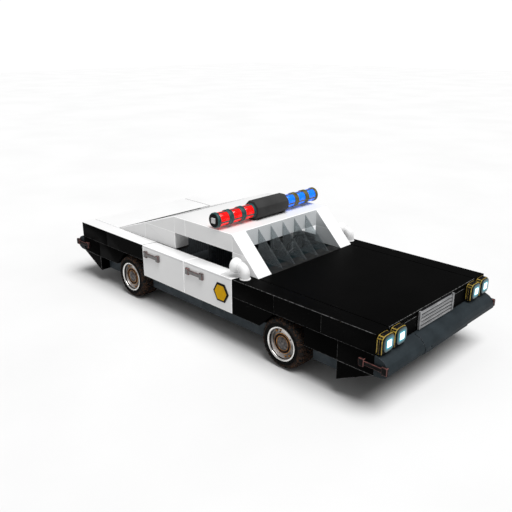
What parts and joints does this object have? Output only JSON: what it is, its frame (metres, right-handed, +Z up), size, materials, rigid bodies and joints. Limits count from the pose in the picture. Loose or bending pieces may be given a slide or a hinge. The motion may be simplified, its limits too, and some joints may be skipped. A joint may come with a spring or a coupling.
{
  "type": "police patrol car",
  "caption": "Slab-sided four-door police patrol car in black and white, with a roof light bar, opening doors, bonnet and boot, and steered rolling wheels.",
  "frame": {"origin": "on the ground, below the middle of the body", "axes": "+X forward, +Y left, +Z up"},
  "size_m": [5.6276, 2.2704, 1.532],
  "materials": {
    "white_paint": "gloss",
    "black_paint": "gloss",
    "slate_metal": "satin",
    "dark_metal": "matte",
    "cast_grey": "matte",
    "screen_glass": "clear",
    "slate_plastic": "satin",
    "seat_cloth": "matte",
    "grille_metal": "satin",
    "lamp_housing": "gloss",
    "lamp_glass": "clear",
    "tail_red": "gloss",
    "bar_plastic": "matte",
    "beacon_red": "gloss",
    "beacon_blue": "gloss",
    "black_trim": "matte",
    "tyre_rubber": "matte",
    "rim_silver": "polished"
  },
  "bodies": {
    "car_body": {"chassis_frame": "slate_metal", "sill_boxes": "slate_metal", "floor_pan": "dark_metal", "engine_block": "cast_grey", "bulkheads": "dark_metal", "inner_wings": "dark_metal", "end_panels": "black_paint", "front_fenders": "black_paint", "rear_quarters": "black_paint", "roof": "white_paint", "window_glass": "screen_glass", "dashboard": "slate_plastic", "front_seats": "seat_cloth", "rear_seat": "seat_cloth", "bumper_front": "slate_plastic", "bumper_rear": "slate_plastic", "aprons": "black_paint", "grille": "grille_metal", "headlamps": "lamp_housing", "lamp_lenses": "lamp_glass", "tail_lamps": "tail_red", "light_bar": "bar_plastic", "beacons_red": "beacon_red", "beacons_blue": "beacon_blue", "mirrors": "white_paint", "bumper_bars": "black_trim", "front_suspension": "dark_metal", "rear_axle": "dark_metal"},
    "bonnet": {"bonnet": "black_paint"},
    "boot_lid": {"boot_lid": "white_paint"},
    "door_front_left": {"door_front_left": "white_paint"},
    "door_front_right": {"door_front_right": "white_paint"},
    "door_rear_left": {"door_rear_left": "white_paint"},
    "door_rear_right": {"door_rear_right": "white_paint"},
    "steering_wheel": {"steering_wheel": "black_trim"},
    "knuckle_left": {"knuckle_left": "cast_grey"},
    "knuckle_right": {"knuckle_right": "cast_grey"},
    "wheel_front_left": {"tyre_front_left": "tyre_rubber", "rim_front_left": "rim_silver"},
    "wheel_front_right": {"tyre_front_right": "tyre_rubber", "rim_front_right": "rim_silver"},
    "wheel_rear_left": {"tyre_rear_left": "tyre_rubber", "rim_rear_left": "rim_silver"},
    "wheel_rear_right": {"tyre_rear_right": "tyre_rubber", "rim_rear_right": "rim_silver"}
  },
  "joints": [
    {"name": "bonnet_hinge", "type": "hinge", "parent": "car_body", "child": "bonnet", "pos_m": [0.888, 0, 0.85], "axis": [0, -1, 0], "range_deg": [0, 60]},
    {"name": "boot_lid_hinge", "type": "hinge", "parent": "car_body", "child": "boot_lid", "pos_m": [-1.988, 0, 0.85], "axis": [0, 1, 0], "range_deg": [0, 60]},
    {"name": "door_front_left_hinge", "type": "hinge", "parent": "car_body", "child": "door_front_left", "pos_m": [0.652, 1.1, 0.64], "axis": [0, 0, -1], "range_deg": [0, 65]},
    {"name": "door_rear_left_hinge", "type": "hinge", "parent": "car_body", "child": "door_rear_left", "pos_m": [-0.228, 1.1, 0.64], "axis": [0, 0, -1], "range_deg": [0, 65]},
    {"name": "door_front_right_hinge", "type": "hinge", "parent": "car_body", "child": "door_front_right", "pos_m": [0.652, -1.1, 0.64], "axis": [0, 0, 1], "range_deg": [0, 65]},
    {"name": "door_rear_right_hinge", "type": "hinge", "parent": "car_body", "child": "door_rear_right", "pos_m": [-0.228, -1.1, 0.64], "axis": [0, 0, 1], "range_deg": [0, 65]},
    {"name": "steer_left", "type": "hinge", "parent": "car_body", "child": "knuckle_left", "pos_m": [1.43, 0.946, 0.3], "axis": [0, 0, 1], "range_deg": [-22, 22]},
    {"name": "steer_right", "type": "hinge", "parent": "car_body", "child": "knuckle_right", "pos_m": [1.43, -0.946, 0.3], "axis": [0, 0, 1], "range_deg": [-22, 22]},
    {"name": "spin_front_left", "type": "hinge", "parent": "knuckle_left", "child": "wheel_front_left", "pos_m": [1.43, 0.946, 0.3], "axis": [0, 1, 0], "continuous": true},
    {"name": "spin_rear_left", "type": "hinge", "parent": "car_body", "child": "wheel_rear_left", "pos_m": [-1.43, 0.946, 0.3], "axis": [0, 1, 0], "continuous": true},
    {"name": "spin_front_right", "type": "hinge", "parent": "knuckle_right", "child": "wheel_front_right", "pos_m": [1.43, -0.946, 0.3], "axis": [0, 1, 0], "continuous": true},
    {"name": "spin_rear_right", "type": "hinge", "parent": "car_body", "child": "wheel_rear_right", "pos_m": [-1.43, -0.946, 0.3], "axis": [0, 1, 0], "continuous": true},
    {"name": "steering_wheel_turn", "type": "hinge", "parent": "car_body", "child": "steering_wheel", "pos_m": [0.33, 0.385, 0.81], "axis": [-0.9659, 0, 0.2588], "range_deg": [-352, 352]}
  ],
  "couplings": [
    {"joint": "steer_right", "follows": "steer_left", "ratio": 1},
    {"joint": "steering_wheel_turn", "follows": "steer_left", "ratio": 16}
  ]
}
